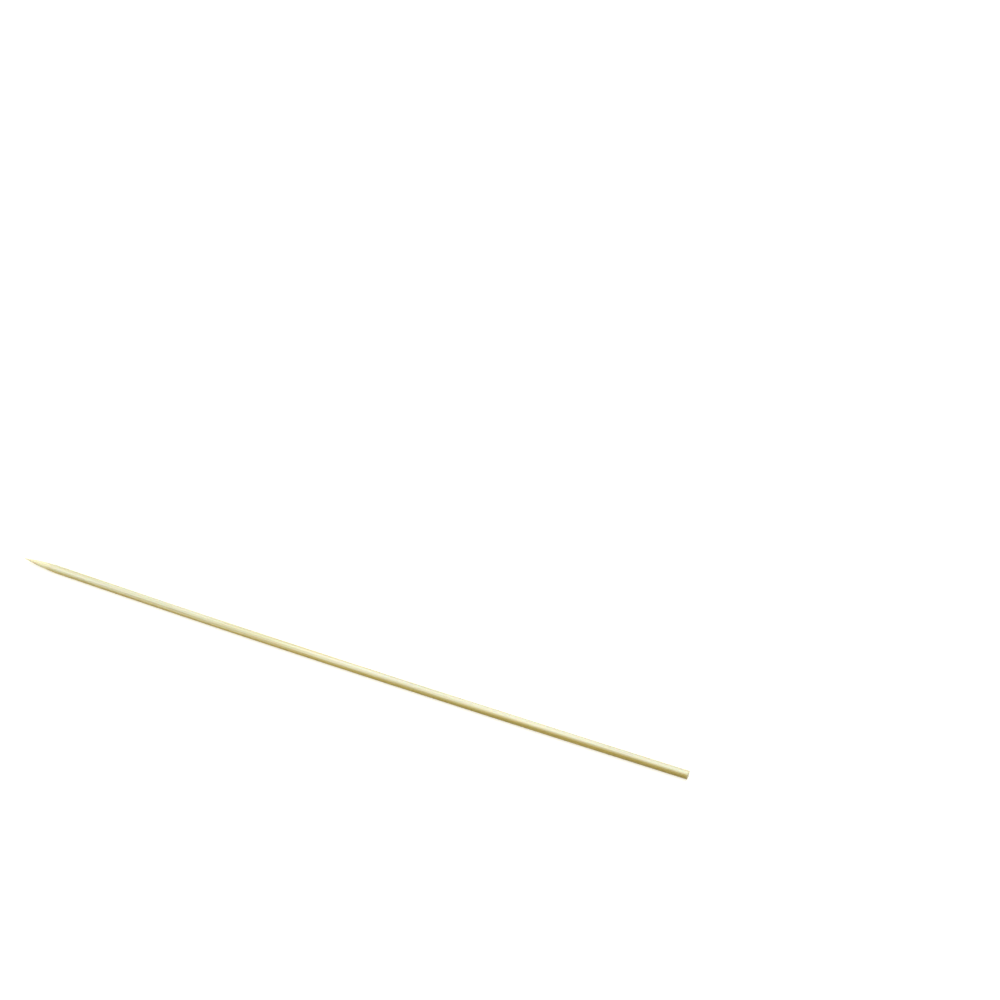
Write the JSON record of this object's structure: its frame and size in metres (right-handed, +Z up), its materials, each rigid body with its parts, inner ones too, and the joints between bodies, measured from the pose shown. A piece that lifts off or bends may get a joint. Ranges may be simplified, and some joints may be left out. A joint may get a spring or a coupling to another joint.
{
  "type": "bamboo skewer",
  "caption": "Thin round bamboo skewer, ground to a point at one end and sawn square at the other, for threading and grilling food.",
  "frame": {"origin": "centre of the bounding box's base, on the surface that the skewer lies on", "axes": "+X along the skewer from its tip to its butt, +Z up from the lower flat, and -Y towards the belly of its slight bow"},
  "size_m": [0.25, 0.004, 0.0028],
  "materials": {
    "bamboo": "raw pale bamboo, rounded by a cutter and tumbled smooth, with long fibres and no coating"
  },
  "bodies": {
    "root": {"skewer": "bamboo"}
  },
  "joints": []
}
